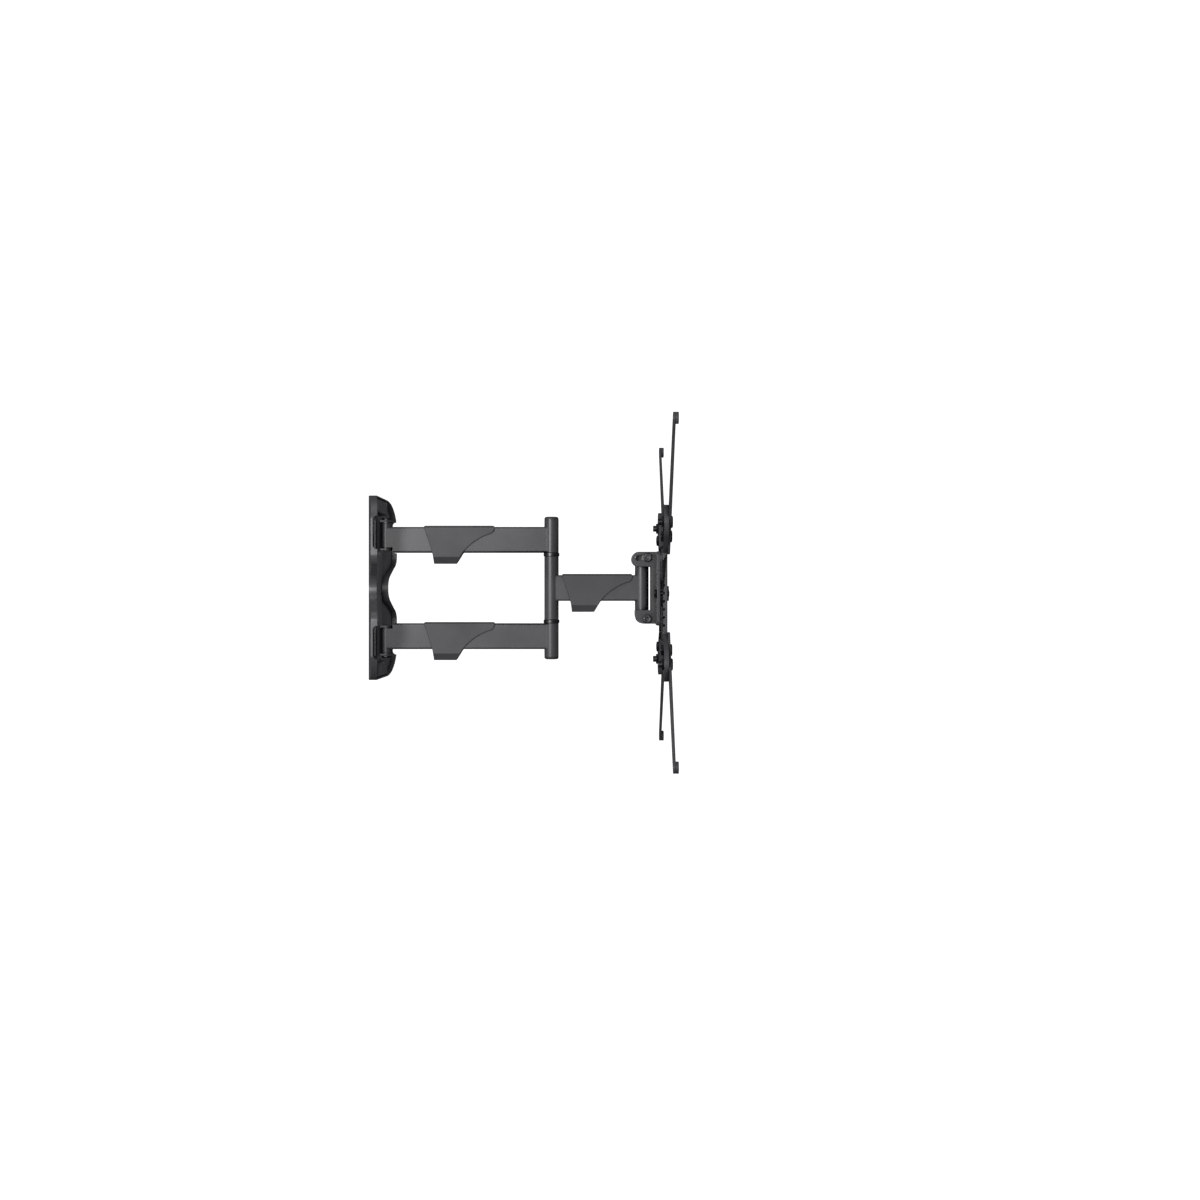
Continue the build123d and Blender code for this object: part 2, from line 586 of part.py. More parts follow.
YOKE_WEB_REACH = 352.2
YOKE_WEB = 3.0
PIN_HEAD_RADIUS = 5.0
PIN_HEAD_FLOOR = 42.0
YOKE_NOSE_RADIUS = 8.6
with BuildPart() as swivel_yoke:
    # blocks above and below the knuckle, with a narrower round nose
    for low in (YOKE_BLOCK_START, -YOKE_HALF_HEIGHT):
        with BuildSketch(Plane.XY.offset(low)):
            with Locations((0, -HEAD_PIVOT)):
                Circle(YOKE_NOSE_RADIUS)
            with Locations((0, -(HEAD_PIVOT + 3 + YOKE_REACH) / 2)):
                Rectangle(2 * YOKE_HALF_WIDTH, YOKE_REACH - HEAD_PIVOT - 3)
            make_hull()
        extrude(amount=YOKE_HALF_HEIGHT - YOKE_BLOCK_START)
    with BuildSketch(SIDE):
        with Locations((YOKE_WEB_REACH + YOKE_WEB / 2, 0)):
            Rectangle(YOKE_WEB, 2 * YOKE_BLOCK_START)
    extrude(amount=YOKE_HALF_WIDTH, both=True)
    # the nose is rounded off towards the top and the bottom
    nose = HEAD_PIVOT - YOKE_NOSE_RADIUS
    with BuildSketch(SIDE):
        with BuildLine():
            Line((nose, 0), (nose, YOKE_HALF_HEIGHT - 9))
            RadiusArc((nose, YOKE_HALF_HEIGHT - 9), (nose + 9, YOKE_HALF_HEIGHT), 9)
            Line((nose + 9, YOKE_HALF_HEIGHT), (YOKE_REACH, YOKE_HALF_HEIGHT))
            Line((YOKE_REACH, YOKE_HALF_HEIGHT), (YOKE_REACH, 0))
            mirror(about=Plane.XZ)
        make_face()
    extrude(amount=YOKE_HALF_WIDTH, both=True, mode=Mode.INTERSECT)
    cylinder_up(
        HEAD_PIVOT,
        SWIVEL_PIN_RADIUS + RADIAL_CLEARANCE,
        -YOKE_HALF_HEIGHT,
        YOKE_HALF_HEIGHT,
        mode=Mode.SUBTRACT,
    )
    cylinder_up(
        HEAD_PIVOT, PIN_HEAD_RADIUS + 0.2, PIN_HEAD_FLOOR, YOKE_HALF_HEIGHT, mode=Mode.SUBTRACT
    )
    for reach, height in (
        (TILT_PIVOT_REACH, TILT_PIVOT_HEIGHT),
        (TILT_LOCK_REACH, TILT_LOCK_HEIGHT),
    ):
        cylinder_across(
            reach,
            height,
            CROSS_BOLT_RADIUS + RADIAL_CLEARANCE,
            -YOKE_HALF_WIDTH,
            YOKE_HALF_WIDTH,
            mode=Mode.SUBTRACT,
        )
swivel_yoke.part.label = "swivel_yoke"
export_step(swivel_yoke.part, "parts/swivel_yoke.step")

with BuildPart() as swivel_pin:
    cylinder_up(HEAD_PIVOT, SWIVEL_PIN_RADIUS, -YOKE_HALF_HEIGHT + 0.5, PIN_HEAD_FLOOR)
    cylinder_up(HEAD_PIVOT, PIN_HEAD_RADIUS, PIN_HEAD_FLOOR, PIN_HEAD_FLOOR + 2.8)
    with BuildSketch(Plane.XY.offset(PIN_HEAD_FLOOR + 0.8)):
        with Locations((0, -HEAD_PIVOT)):
            RegularPolygon(3, 6, major_radius=False)
    extrude(amount=2, mode=Mode.SUBTRACT)
swivel_pin.part.label = "swivel_pin"
export_step(swivel_pin.part, "parts/swivel_pin.step")

# ---------------------------------------------------------------- tilt bracket

ear_inside = YOKE_HALF_WIDTH + TILT_EAR_GAP
ear_outside = ear_inside + TILT_SHEET
tilt_arm = hypot(TILT_LOCK_REACH - TILT_PIVOT_REACH, TILT_LOCK_HEIGHT - TILT_PIVOT_HEIGHT)
tilt_lock_angle = degrees(
    atan2(TILT_LOCK_HEIGHT - TILT_PIVOT_HEIGHT, TILT_LOCK_REACH - TILT_PIVOT_REACH)
)

with BuildPart() as tilt_bracket:
    # both side plates: an upper ear, a narrow middle and a lower ear
    with BuildSketch(SIDE.offset(-ear_outside)):
        with BuildLine():
            Polyline(
                (TILT_BASE_REACH, 46),
                (337.4, 46),
            )
            ThreePointArc((337.4, 46), (328, 36.6), (337.4, 27.2))
            Polyline(
                (337.4, 27.2),
                (353.6, 27.2),
                (353.6, -28.3),
                (332.4, -28.3),
                (332.4, -33.5),
            )
            ThreePointArc((332.4, -33.5), (335.9, -42), (344.4, -45.5))
            Polyline((344.4, -45.5), (TILT_BASE_REACH, -45.5), (TILT_BASE_REACH, 46))
        make_face()
        with Locations((TILT_PIVOT_REACH, TILT_PIVOT_HEIGHT)):
            Circle(CROSS_BOLT_RADIUS + RADIAL_CLEARANCE, mode=Mode.SUBTRACT)
    extrude(amount=TILT_SHEET)
    # the slot that guides the upper bolt
    with BuildSketch(SIDE.offset(-ear_outside)):
        with BuildLine():
            slot_line = CenterArc(
                (TILT_PIVOT_REACH, TILT_PIVOT_HEIGHT),
                tilt_arm,
                tilt_lock_angle - TILT_UP - 0.3,
                TILT_UP + TILT_DOWN + 0.6,
            )
        SlotArc(slot_line, 2 * TILT_SLOT_RADIUS)
    extrude(amount=TILT_SHEET, mode=Mode.SUBTRACT)
    mirror(about=Plane.YZ)
    with BuildSketch(Plane.XZ.offset(TILT_BASE_REACH)):
        with Locations((0, -0.7)):
            RectangleRounded(2 * TILT_BASE_HALF_WIDTH, 94, 6)
        with Locations((0, TV_CENTRE)):
            Circle(LEVEL_PIVOT_RADIUS, mode=Mode.SUBTRACT)
        with Locations((LEVEL_LOCK_OFFSET, TV_CENTRE), (-LEVEL_LOCK_OFFSET, TV_CENTRE)):
            Circle(SMALL_BOLT_RADIUS, mode=Mode.SUBTRACT)
    extrude(amount=TILT_BASE_THICKNESS)
tilt_bracket.part.label = "tilt_bracket"
export_step(tilt_bracket.part, "parts/tilt_bracket.step")

# The two cross bolts of the head, with their nuts.
CROSS_HEAD_RADIUS = 5.5
CROSS_HEAD_HEIGHT = 3.6
head_face = ear_outside + END_CLEARANCE
cross_bolts = (
    ("tilt_pivot", TILT_PIVOT_REACH, TILT_PIVOT_HEIGHT),
    ("tilt_lock", TILT_LOCK_REACH, TILT_LOCK_HEIGHT),
)
for name, reach, height in cross_bolts:
    with BuildPart() as cross_bolt:
        cylinder_across(reach, height, CROSS_HEAD_RADIUS, -head_face - CROSS_HEAD_HEIGHT, -head_face)
        fillet(cross_bolt.faces().sort_by(Axis.X)[0].edges(), radius=1.2)
        cylinder_across(reach, height, CROSS_BOLT_RADIUS, -head_face, head_face + 5)
        with BuildSketch(Plane.YZ.offset(-head_face - CROSS_HEAD_HEIGHT)):
            with Locations((-reach, height)):
                RegularPolygon(2.5, 6, major_radius=False)
        extrude(amount=2, mode=Mode.SUBTRACT)
    cross_bolt.part.label = f"{name}_bolt"
    export_step(cross_bolt.part, f"parts/{name}_bolt.step")
    with BuildPart() as cross_nut:
        with BuildSketch(Plane.YZ.offset(head_face)):
            with Locations((-reach, height)):
                RegularPolygon(4.5, 6, major_radius=False)
                Circle(CROSS_BOLT_RADIUS, mode=Mode.SUBTRACT)
        extrude(amount=4.5)
    cross_nut.part.label = f"{name}_nut"
    export_step(cross_nut.part, f"parts/{name}_nut.step")

# ---------------------------------------------------------------- levelling pivot

plate_back = TV_PLATE_REACH - TV_PLATE_SHEET
with BuildPart() as level_washer:
    with BuildSketch(Plane.XZ.offset(TILT_BASE_FACE)):
        with Locations((0, TV_CENTRE)):
            Circle(17)
            Circle(LEVEL_PIVOT_RADIUS, mode=Mode.SUBTRACT)
    extrude(amount=plate_back - END_CLEARANCE - TILT_BASE_FACE)
level_washer.part.label = "level_washer"
export_step(level_washer.part, "parts/level_washer.step")

nut_face = TV_PLATE_REACH + END_CLEARANCE
with BuildPart() as level_pivot_bolt:
    cylinder_out(0, TV_CENTRE, 8, TILT_BASE_REACH - 2.8, TILT_BASE_REACH)
    fillet(level_pivot_bolt.faces().sort_by(Axis.Y)[-1].edges(), radius=1)
    cylinder_out(0, TV_CENTRE, LEVEL_PIVOT_RADIUS, TILT_BASE_REACH, nut_face + 4.5)
level_pivot_bolt.part.label = "level_pivot_bolt"
export_step(level_pivot_bolt.part, "parts/level_pivot_bolt.step")

with BuildPart() as level_pivot_nut:
    with BuildSketch(Plane.XZ.offset(nut_face)):
        with Locations((0, TV_CENTRE)):
            RegularPolygon(9.5, 6, major_radius=False)
            Circle(LEVEL_PIVOT_RADIUS, mode=Mode.SUBTRACT)
    extrude(amount=4.2)
level_pivot_nut.part.label = "level_pivot_nut"
export_step(level_pivot_nut.part, "parts/level_pivot_nut.step")

with BuildPart() as level_lock_bolts:
    with BuildSketch(Plane.XZ.offset(TILT_BASE_REACH - 3.6)):
        with Locations((LEVEL_LOCK_OFFSET, TV_CENTRE), (-LEVEL_LOCK_OFFSET, TV_CENTRE)):
            RegularPolygon(5, 6, major_radius=False)
    extrude(amount=3.6)
    for hand in (1, -1):
        cylinder_out(
            hand * LEVEL_LOCK_OFFSET, TV_CENTRE, SMALL_BOLT_RADIUS, TILT_BASE_REACH, nut_face + 4
        )
level_lock_bolts.part.label = "level_lock_bolts"
export_step(level_lock_bolts.part, "parts/level_lock_bolts.step")

with BuildPart() as level_lock_nuts:
    with BuildSketch(Plane.XZ.offset(nut_face)):
        with Locations((LEVEL_LOCK_OFFSET, TV_CENTRE), (-LEVEL_LOCK_OFFSET, TV_CENTRE)):
            RegularPolygon(5, 6, major_radius=False)
            Circle(SMALL_BOLT_RADIUS, mode=Mode.SUBTRACT)
    extrude(amount=3.6)
level_lock_nuts.part.label = "level_lock_nuts"
export_step(level_lock_nuts.part, "parts/level_lock_nuts.step")

# ---------------------------------------------------------------- television plate

# The plate's outline about its own centre: a square middle with a round lug at each corner.
waist = 50.0
with BuildSketch() as tv_plate_outline:
    with BuildSketch(mode=Mode.PRIVATE) as corner_lug:
        with Locations((LUG_CENTRE, LUG_CENTRE)):
            Circle(LUG_RADIUS)
        Polygon(
            (TV_PLATE_HALF_WIDTH, waist),
            (waist, TV_PLATE_HALF_WIDTH),
            (waist, waist),
            align=None,
        )
        make_hull()
    Rectangle(2 * TV_PLATE_HALF_WIDTH, 2 * TV_PLATE_HALF_WIDTH)
    for turn in (0, 90, 180, 270):
        add(corner_lug.sketch, rotation=turn)

tv_frame = Plane(origin=(0, -TV_PLATE_REACH, TV_CENTRE), x_dir=(1, 0, 0), z_dir=(0, -1, 0))
BOLT_ALONG = (70.0, LUG_CENTRE)  # offsets of each arm's two bolts from the centre, both ways
with BuildPart() as vesa_plate:
    with BuildSketch(tv_frame.offset(-TV_PLATE_FLANGE)):
        add(tv_plate_outline.sketch)
    extrude(amount=TV_PLATE_FLANGE)
    with BuildSketch(tv_frame.offset(-TV_PLATE_FLANGE)):
        add(tv_plate_outline.sketch)
        offset(amount=-TV_PLATE_SHEET, mode=Mode.REPLACE)
    extrude(amount=TV_PLATE_FLANGE - TV_PLATE_SHEET, mode=Mode.SUBTRACT)
    with BuildSketch(tv_frame.offset(-TV_PLATE_SHEET)):
        Circle(LEVEL_PIVOT_RADIUS + RADIAL_CLEARANCE)
        # short slots that let the plate turn a little about its centre
        travel = 2 * LEVEL_LOCK_OFFSET * sin(radians(LEVEL_RANGE + 1))
        with Locations((LEVEL_LOCK_OFFSET, 0), (-LEVEL_LOCK_OFFSET, 0)):
            SlotCenterToCenter(travel, 2 * TILT_SLOT_RADIUS, rotation=90)
        for spacing in VESA_SMALL:
            with GridLocations(spacing, spacing, 2, 2):
                Circle(SCREW_HOLE_SMALL)
        for along in BOLT_ALONG:
            with GridLocations(2 * along, 2 * along, 2, 2):
                Circle(HINGE_BOLT_RADIUS)
        # openings that lighten the sheet
        with Locations((0, 52), (0, -52), (0, 28), (0, -28)):
            SlotOverall(56, 6)
        with Locations((0, 40), (0, -40)):
            SlotOverall(72, 6)
    extrude(amount=TV_PLATE_SHEET, mode=Mode.SUBTRACT)
    # a row of round holes along both upright flanges
    with BuildSketch(Plane.YZ.offset(-TV_PLATE_HALF_WIDTH)):
        with Locations((-(TV_PLATE_REACH - TV_PLATE_FLANGE + 1.6), TV_CENTRE)):
            with GridLocations(1, 10, 1, 9):
                Circle(1.5)
    extrude(amount=2 * TV_PLATE_HALF_WIDTH, mode=Mode.SUBTRACT)
vesa_plate.part.label = "vesa_plate"
export_step(vesa_plate.part, "parts/vesa_plate.step")

# Four arms to the corners of the large screw pattern, each drawn along +X and turned to its diagonal.
hub_along = 62.0 * sqrt(2)
tip_along = VESA_LARGE / sqrt(2)
middle_along = VESA_MIDDLE / sqrt(2)
slot_along = (118.0 * sqrt(2), 180.0 * sqrt(2))
flare = degrees(asin((TV_ARM_HUB_RADIUS - TV_ARM_TIP_RADIUS) / (tip_along - hub_along)))


lean = radians(90 - flare)
hub_edge = (hub_along + TV_ARM_HUB_RADIUS * cos(lean), TV_ARM_HUB_RADIUS * sin(lean))
tip_edge = (tip_along + TV_ARM_TIP_RADIUS * cos(lean), TV_ARM_TIP_RADIUS * sin(lean))
hub_diagonal = TV_ARM_HUB_RADIUS / sqrt(2)
tip_diagonal = TV_ARM_TIP_RADIUS / sqrt(2)
with BuildSketch() as tv_arm_outline:
    with BuildLine():
        ThreePointArc(
            (hub_along - TV_ARM_HUB_RADIUS, 0),
            (hub_along - hub_diagonal, hub_diagonal),
            hub_edge,
        )
        Line(hub_edge, tip_edge)
        ThreePointArc(
            tip_edge,
            (tip_along + tip_diagonal, tip_diagonal),
            (tip_along + TV_ARM_TIP_RADIUS, 0),
        )
        mirror(about=Plane.XZ)
    make_face()
    with Locations((tip_along, 0), (middle_along, 0)):
        Circle(SCREW_HOLE_LARGE, mode=Mode.SUBTRACT)
    with Locations(*[(along * sqrt(2), 0) for along in BOLT_ALONG]):
        Circle(HINGE_BOLT_RADIUS, mode=Mode.SUBTRACT)
    with Locations((sum(slot_along) / 2, 0)):
        SlotCenterToCenter(slot_along[1] - slot_along[0], 2 * TILT_SLOT_RADIUS, mode=Mode.SUBTRACT)

tv_arms = (
    ("tv_arm_upper_right", 45),
    ("tv_arm_upper_left", 135),
    ("tv_arm_lower_left", 225),
    ("tv_arm_lower_right", 315),
)
for name, turn in tv_arms:
    with BuildPart() as tv_arm:
        with BuildSketch(tv_frame):
            add(tv_arm_outline.sketch, rotation=turn)
        extrude(amount=TV_ARM_THICKNESS)
    tv_arm.part.label = name
    export_step(tv_arm.part, f"parts/{name}.step")

# Fasteners of the television arms, four of each kind and place.
HEAD_DOME = 2.4
with BuildPart() as tv_arm_bolts:
    for along in BOLT_ALONG:
        tail = TV_PLATE_REACH - TV_PLATE_SHEET - (10 if along == LUG_CENTRE else 6.5)
        for x in (along, -along):
            for height in (TV_CENTRE + along, TV_CENTRE - along):
                cylinder_out(x, height, HINGE_BOLT_RADIUS, tail, TV_ARM_REACH)
                cylinder_out(x, height, 7.5, TV_ARM_REACH, TV_ARM_REACH + HEAD_DOME)
    heads = tv_arm_bolts.faces().filter_by(Axis.Y).group_by(Axis.Y)[0]
    fillet(heads.edges(), radius=1.6)
tv_arm_bolts.part.label = "tv_arm_bolts"
export_step(tv_arm_bolts.part, "parts/tv_arm_bolts.step")

with BuildPart() as tv_arm_nuts:
    with BuildSketch(Plane.XZ.offset(plate_back - 6)):
        for along in BOLT_ALONG:
            with Locations((0, TV_CENTRE)):
                with GridLocations(2 * along, 2 * along, 2, 2):
                    RegularPolygon(6.5, 6, major_radius=False)
                    Circle(HINGE_BOLT_RADIUS, mode=Mode.SUBTRACT)
    extrude(amount=6)
tv_arm_nuts.part.label = "tv_arm_nuts"
export_step(tv_arm_nuts.part, "parts/tv_arm_nuts.step")

with BuildPart() as tv_spacers:
    with BuildSketch(Plane.XZ.offset(TV_ARM_REACH)):
        with Locations((0, TV_CENTRE)):
            with GridLocations(VESA_LARGE, VESA_LARGE, 2, 2):
                Circle(TV_ARM_TIP_RADIUS)
                Circle(SCREW_HOLE_LARGE, mode=Mode.SUBTRACT)
    extrude(amount=SPACER_THICKNESS)
tv_spacers.part.label = "tv_spacers"
export_step(tv_spacers.part, "parts/tv_spacers.step")
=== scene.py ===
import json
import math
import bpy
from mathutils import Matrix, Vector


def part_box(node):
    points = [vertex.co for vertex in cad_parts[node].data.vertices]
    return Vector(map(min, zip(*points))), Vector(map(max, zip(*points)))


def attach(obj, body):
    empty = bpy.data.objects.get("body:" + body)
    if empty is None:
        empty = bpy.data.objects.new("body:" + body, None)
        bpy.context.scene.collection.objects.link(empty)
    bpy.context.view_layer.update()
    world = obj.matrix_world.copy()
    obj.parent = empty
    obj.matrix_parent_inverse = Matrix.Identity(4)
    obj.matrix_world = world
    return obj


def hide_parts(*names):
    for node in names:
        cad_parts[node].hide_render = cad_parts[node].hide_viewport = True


bl_info = {
    "name": "Full Motion Television Wall Mount",
    "version": (1, 0, 0),
    "blender": (4, 5, 0),
    "location": "View3D > Sidebar > TV Mount",
    "description": "Builds the finishes and small details of a full motion television wall mount",
    "category": "Add Mesh",
}

import bmesh
import bpy
from bpy.props import FloatProperty, FloatVectorProperty, PointerProperty
from bpy.types import Operator, Panel, PropertyGroup
from mathutils import Vector

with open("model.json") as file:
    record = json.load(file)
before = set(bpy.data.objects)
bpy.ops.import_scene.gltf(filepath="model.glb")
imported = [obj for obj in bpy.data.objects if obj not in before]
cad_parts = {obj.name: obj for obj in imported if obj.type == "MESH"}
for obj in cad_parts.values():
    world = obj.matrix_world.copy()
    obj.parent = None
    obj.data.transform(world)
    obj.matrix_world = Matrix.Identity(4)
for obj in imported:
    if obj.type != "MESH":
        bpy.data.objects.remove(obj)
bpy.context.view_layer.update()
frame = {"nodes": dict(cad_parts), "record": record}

MM = 0.001

SAME_POINT = 0.01 * MM  # corners of a CAD mesh closer than this are one corner
FLAT_WITHIN = 0.6  # degrees by which the facets of one flat side may differ
CREASE = 28.0  # an edge that folds by more degrees than this is rounded
COVER_CREASE = 22.0  # the same for the cable covers, whose slopes are gentler
FINE_EDGE = 0.3 * MM  # round on the fasteners, and on the covers' edges that show least
CAP_EDGE = 0.5 * MM  # round on the small plastic parts
# painted shade in gaps and inside corners: how far it reaches into the steel and the plastic, and how dark
# it gets
STEEL_CORNER_SHADE = 9 * MM  # how far out of a corner the steel is darker
PLASTIC_CORNER_SHADE = 6 * MM  # the same for the plastic
DARKEST_PAINTED_SHADE = 0.1  # share of the colour that is left deep in a corner
FLOOR_SWEEP = 2.0  # radius of the curve from the floor into the wall, in metres
WALL_HEIGHT = 9.0  # height of the wall above that curve, in metres
LAMP_AIM = Vector((0.0, -0.2, 0.0))  # the middle of the arms, where all the lamps point

# name, place, size, watts, whether it casts shadows, whether it shows in reflections;
# the last two stand beyond the mount and only fill in its far sides, so they leave no glare
LAMPS = (
    ("Key", (-2.4, 0.75, 0.55), 0.5, 36.0, True, True),
    ("Wash", (-2.4, 0.9, 0.3), 0.5, 44.0, False, True),
    ("Fill", (-2.5, -0.2, 0.1), 0.4, 2.5, True, True),
    ("Top", (-0.4, 0.5, 1.8), 0.7, 6.0, True, True),
    ("Front", (1.4, -2.2, 0.6), 0.8, 46.0, True, False),
    ("Far side", (2.3, -0.3, 0.5), 0.8, 30.0, True, False),
)

# ---------------------------------------------------------------- colour and node helpers


def linear(hex_colour):
    """Turns an sRGB hex colour such as "#1b1c1e" into linear values."""
    values = []
    for start in (1, 3, 5):
        channel = int(hex_colour[start:start + 2], 16) / 255.0
        if channel <= 0.04045:
            values.append(channel / 12.92)
        else:
            values.append(((channel + 0.055) / 1.055) ** 2.4)
    return (*values, 1.0)


def add_node(material, kind, inputs=None, **settings):
    """Adds a node of this kind. inputs maps a socket to a value or to another node's output socket."""
    tree = material.node_tree
    node = tree.nodes.new(kind)
    for name, value in settings.items():
        setattr(node, name, value)
    for name, value in (inputs or {}).items():
        if isinstance(value, bpy.types.NodeSocket):
            tree.links.new(value, node.inputs[name])
        else:
            node.inputs[name].default_value = value
    return node


def new_material(name):
    """An empty node material and its output node."""
    material = bpy.data.materials.new(name)
    material.use_nodes = True
    material.node_tree.nodes.clear()
    return material, add_node(material, "ShaderNodeOutputMaterial")


def per_mm(size):
    """The scale that makes a texture's features about this many millimetres across."""
    return 1.0 / (size * MM)


def ramp(material, source, stops):
    """A colour ramp over a texture's value. stops are (position, linear colour)."""
    node = add_node(material, "ShaderNodeValToRGB", {"Fac": source})
    band = node.color_ramp
    while len(band.elements) < len(stops):
        band.elements.new(0.5)
    for element, (position, colour) in zip(band.elements, stops):
        element.position = position
        element.color = colour
    return node


def paint_corner_shade(material, colour, depth):
    """Paints shade into a colour in gaps and inside corners, where little light gets in."""
    cavity = add_node(material, "ShaderNodeAmbientOcclusion", {"Distance": depth}, samples=8)
    shade = ramp(
        material,
        cavity.outputs["AO"],
        [(0.48, (DARKEST_PAINTED_SHADE, DARKEST_PAINTED_SHADE, DARKEST_PAINTED_SHADE, 1)), (0.93, (1, 1, 1, 1))],
    )
    return add_node(
        material,
        "ShaderNodeMix",
        {"Factor": 1.0, "A": colour, "B": shade.outputs["Color"]},
        data_type="RGBA",
        blend_type="MULTIPLY",
    )


# ---------------------------------------------------------------- finishes


def powder_coat(finish):
    """Black epoxy-polyester powder coat, sprayed on pressed steel and baked.

    It flows out to a satin skin with a fine orange peel, so highlights are soft and slightly broken.
    """
    material, output = new_material("Satin black powder-coated steel")
    place = add_node(material, "ShaderNodeTexCoord").outputs["Object"]
    # thin and thick patches of coat, about 40 mm apart
    cloud = add_node(
        material,
        "ShaderNodeTexNoise",
        {"Vector": place, "Scale": per_mm(40), "Detail": 3.0, "Roughness": 0.55},
    )
    tone = ramp(
        material,
        cloud.outputs["Fac"],
        [(0.3, linear("#38383a")), (0.7, (*finish.steel_colour, 1.0))],
    )
    # fine dust that settles in the peel, drawn at 1.1 mm so that it shows
    speck = add_node(
        material,
        "ShaderNodeTexNoise",
        {"Vector": place, "Scale": per_mm(1.1), "Detail": 2.0, "Roughness": 0.7},
    )
    dust = ramp(material, speck.outputs["Fac"], [(0.55, (0, 0, 0, 1)), (0.8, (1, 1, 1, 1))])
    colour = add_node(
        material,
        "ShaderNodeMix",
        {"Factor": dust.outputs["Color"], "A": tone.outputs["Color"], "B": linear("#4e4e52")},
        data_type="RGBA",
    )
    # painted shade: the coat's colour is darkened in gaps and inside corners
    painted_shade_colour = paint_corner_shade(material, colour.outputs["Result"], STEEL_CORNER_SHADE)
    sheen = add_node(
        material,
        "ShaderNodeMapRange",
        {"Value": cloud.outputs["Fac"], "To Min": finish.steel_roughness - 0.06,
         "To Max": finish.steel_roughness + 0.07},
    )
    # orange peel: bumps about 1.6 mm across and a finer grain of 0.7 mm
    peel = add_node(
        material,
        "ShaderNodeTexNoise",
        {"Vector": place, "Scale": per_mm(1.6), "Detail": 2.5, "Roughness": 0.6},
    )
    relief = add_node(
        material,
        "ShaderNodeBump",
        {"Height": peel.outputs["Fac"], "Strength": 0.22, "Distance": 0.12 * MM},
    )
    shader = add_node(
        material,
        "ShaderNodeBsdfPrincipled",
        {
            "Base Color": painted_shade_colour.outputs["Result"],
            "Roughness": sheen.outputs["Result"],
            "Normal": relief.outputs["Normal"],
            "IOR": 1.5,
            "Specular IOR Level": 0.3,
        },
    )
    material.node_tree.links.new(shader.outputs["BSDF"], output.inputs["Surface"])
    return material


def moulded_plastic(finish):
    """Black polypropylene, injection moulded against a spark-eroded tool.

    The tool leaves a fine even grain, which makes the plastic greyer and duller than the steel.
    """
    material, output = new_material("Grained black moulded polypropylene")
    place = add_node(material, "ShaderNodeTexCoord").outputs["Object"]
    # flow marks that spread from the gate, about 55 mm apart
    flow = add_node(
        material,
        "ShaderNodeTexNoise",
        {"Vector": place, "Scale": per_mm(55), "Detail": 2.0, "Roughness": 0.5},
    )
    tone = ramp(
        material,
        flow.outputs["Fac"],
        [(0.35, linear("#323234")), (0.65, (*finish.plastic_colour, 1.0))],
    )
    # spark-eroded pits, drawn at 0.8 mm so that they show
    grain = add_node(
        material,
        "ShaderNodeTexVoronoi",
        {"Vector": place, "Scale": per_mm(0.8)},
        feature="SMOOTH_F1",
    )
    relief = add_node(
        material,
        "ShaderNodeBump",
        {"Height": grain.outputs["Distance"], "Strength": 0.3, "Distance": 0.1 * MM},
    )
    # painted shade: the plastic's colour is darkened in gaps and inside corners
    painted_shade_colour = paint_corner_shade(material, tone.outputs["Color"], PLASTIC_CORNER_SHADE)
    dullness = add_node(
        material,
        "ShaderNodeMapRange",
        {"Value": grain.outputs["Distance"], "To Min": finish.plastic_roughness - 0.05,
         "To Max": finish.plastic_roughness + 0.06},
    )
    shader = add_node(
        material,
        "ShaderNodeBsdfPrincipled",
        {
            "Base Color": painted_shade_colour.outputs["Result"],
            "Roughness": dullness.outputs["Result"],
            "Normal": relief.outputs["Normal"],
            "IOR": 1.49,
            "Specular IOR Level": 0.35,
        },
    )
    material.node_tree.links.new(shader.outputs["BSDF"], output.inputs["Surface"])
    return material


def black_zinc(finish):
    """Cold-headed steel with black zinc plate and a clear passivate.

    The plate is thin, so it is a dark metal with a faint bloom and fine forming marks.
    """
    material, output = new_material("Black zinc-plated steel")
    place = add_node(material, "ShaderNodeTexCoord").outputs["Object"]
    # patches of bloom in the passivate, about 6 mm across
    bloom = add_node(
        material,
        "ShaderNodeTexNoise",
        {"Vector": place, "Scale": per_mm(6), "Detail": 4.0, "Roughness": 0.6},
    )
    tone = ramp(
        material,
        bloom.outputs["Fac"],
        [(0.3, linear("#2b2b2d")), (0.75, (*finish.fastener_colour, 1.0))],
    )
    # forming marks, drawn at 0.7 mm so that they show
    marks = add_node(
        material,
        "ShaderNodeTexNoise",
        {"Vector": place, "Scale": per_mm(0.7), "Detail": 2.0, "Roughness": 0.65},
    )
    shine = add_node(
        material,
        "ShaderNodeMapRange",
        {"Value": marks.outputs["Fac"], "To Min": 0.28, "To Max": 0.5},
    )
    relief = add_node(
        material,
        "ShaderNodeBump",
        {"Height": marks.outputs["Fac"], "Strength": 0.18, "Distance": 0.06 * MM},
    )
    shader = add_node(
        material,
        "ShaderNodeBsdfPrincipled",
        {
            "Base Color": tone.outputs["Color"],
            "Metallic": 1.0,
            "Roughness": shine.outputs["Result"],
            "Normal": relief.outputs["Normal"],
        },
    )
    material.node_tree.links.new(shader.outputs["BSDF"], output.inputs["Surface"])
    return material


